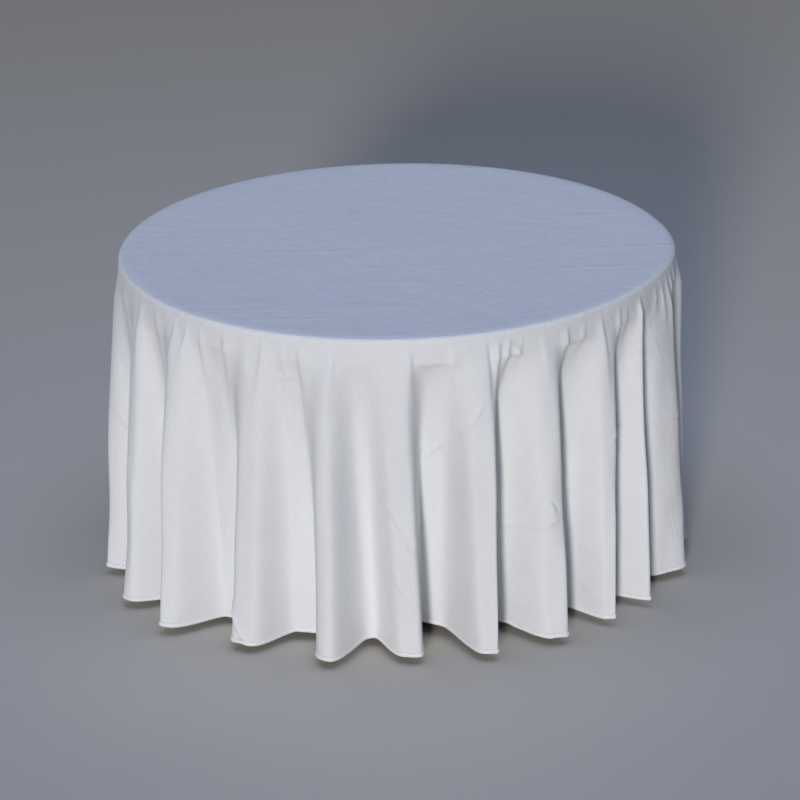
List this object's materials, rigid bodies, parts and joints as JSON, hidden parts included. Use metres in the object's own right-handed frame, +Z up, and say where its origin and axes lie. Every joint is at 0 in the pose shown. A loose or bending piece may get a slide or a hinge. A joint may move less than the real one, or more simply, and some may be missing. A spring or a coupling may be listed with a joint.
{
  "type": "round tablecloth on a folding table",
  "caption": "Floor-length round white tablecloth hanging in deep soft folds over a round folding table with hinged leg frames and folding braces.",
  "frame": {"origin": "on the floor, below the centre of the table", "axes": "+Z up; -Y towards the front; +X to the right, the side of the wide leg frame"},
  "size_m": [1.423, 1.423, 0.743],
  "materials": {
    "white_cloth": "white plain-weave polyester with a faint sheen and soft creases",
    "hem_thread": "white rolled hem, overlocked with thread",
    "plywood": "birch plywood, sealed, with its plies showing at holes",
    "laminate": "pale grey laminate, fine matt texture",
    "vinyl": "dark vinyl moulding, scuffed",
    "hardwood": "planed hardwood, clear sealer",
    "screw_steel": "zinc-plated steel",
    "rubber": "black rubber, matt",
    "nylon": "black moulded nylon",
    "painted_tube": "dark grey powder coat, lightly worn",
    "zinc_steel": "zinc-plated pressed steel",
    "rivet_steel": "bright steel rivet"
  },
  "bodies": {
    "table": {"top_core": "plywood", "top_laminate": "laminate", "edge_moulding": "vinyl", "runner_front": "hardwood", "runner_back": "hardwood", "runner_screws": "screw_steel", "stack_bumpers": "rubber", "pivot_block_wide_front": "nylon", "pivot_block_wide_back": "nylon", "pivot_block_narrow_front": "nylon", "pivot_block_narrow_back": "nylon", "pivot_block_screws": "screw_steel", "brace_bracket_wide": "zinc_steel", "brace_bracket_narrow": "zinc_steel", "bracket_screws": "screw_steel", "bracket_rivet_wide": "rivet_steel", "bracket_rivet_narrow": "rivet_steel"},
    "cloth": {"tablecloth": "white_cloth", "cloth_hem": "hem_thread"},
    "wide_legs": {"leg_frame_wide": "painted_tube", "foot_cap_wide_front": "rubber", "foot_cap_wide_back": "rubber", "tab_rivet_wide": "rivet_steel"},
    "narrow_legs": {"leg_frame_narrow": "painted_tube", "foot_cap_narrow_front": "rubber", "foot_cap_narrow_back": "rubber", "tab_rivet_narrow": "rivet_steel"},
    "wide_upper_link": {"brace_upper_wide": "zinc_steel", "knee_pin_upper_wide": "rivet_steel"},
    "wide_lower_link": {"brace_lower_wide": "zinc_steel", "knee_pin_lower_wide": "rivet_steel"},
    "narrow_upper_link": {"brace_upper_narrow": "zinc_steel", "knee_pin_upper_narrow": "rivet_steel"},
    "narrow_lower_link": {"brace_lower_narrow": "zinc_steel", "knee_pin_lower_narrow": "rivet_steel"}
  },
  "joints": [
    {"name": "cloth_lift", "type": "slide", "parent": "table", "child": "cloth", "axis": [0, 0, 1], "range_m": [0, 0.8]},
    {"name": "wide_legs_fold", "type": "hinge", "parent": "table", "child": "wide_legs", "pos_m": [0.4, 0, 0.689], "axis": [0, 1, 0], "range_deg": [0, 94]},
    {"name": "narrow_legs_fold", "type": "hinge", "parent": "table", "child": "narrow_legs", "pos_m": [-0.4, 0, 0.695], "axis": [0, -1, 0], "range_deg": [0, 94]},
    {"name": "wide_upper_link_turn", "type": "hinge", "parent": "table", "child": "wide_upper_link", "pos_m": [0.09, 0, 0.689], "axis": [0, 1, 0], "range_deg": [-37.3, 0]},
    {"name": "wide_lower_link_turn", "type": "hinge", "parent": "wide_legs", "child": "wide_lower_link", "pos_m": [0.41744, 0, 0.43961], "axis": [0, 1, 0], "range_deg": [0, 48.72]},
    {"name": "narrow_upper_link_turn", "type": "hinge", "parent": "table", "child": "narrow_upper_link", "pos_m": [-0.09, 0, 0.695], "axis": [0, -1, 0], "range_deg": [-37.3, 0]},
    {"name": "narrow_lower_link_turn", "type": "hinge", "parent": "narrow_legs", "child": "narrow_lower_link", "pos_m": [-0.41744, 0, 0.44561], "axis": [0, -1, 0], "range_deg": [0, 48.72]}
  ],
  "couplings": [
    {"joint": "wide_upper_link_turn", "follows": "wide_legs_fold", "ratio": -0.39675},
    {"joint": "wide_lower_link_turn", "follows": "wide_legs_fold", "ratio": 0.51814},
    {"joint": "narrow_upper_link_turn", "follows": "narrow_legs_fold", "ratio": -0.39675},
    {"joint": "narrow_lower_link_turn", "follows": "narrow_legs_fold", "ratio": 0.51814}
  ]
}
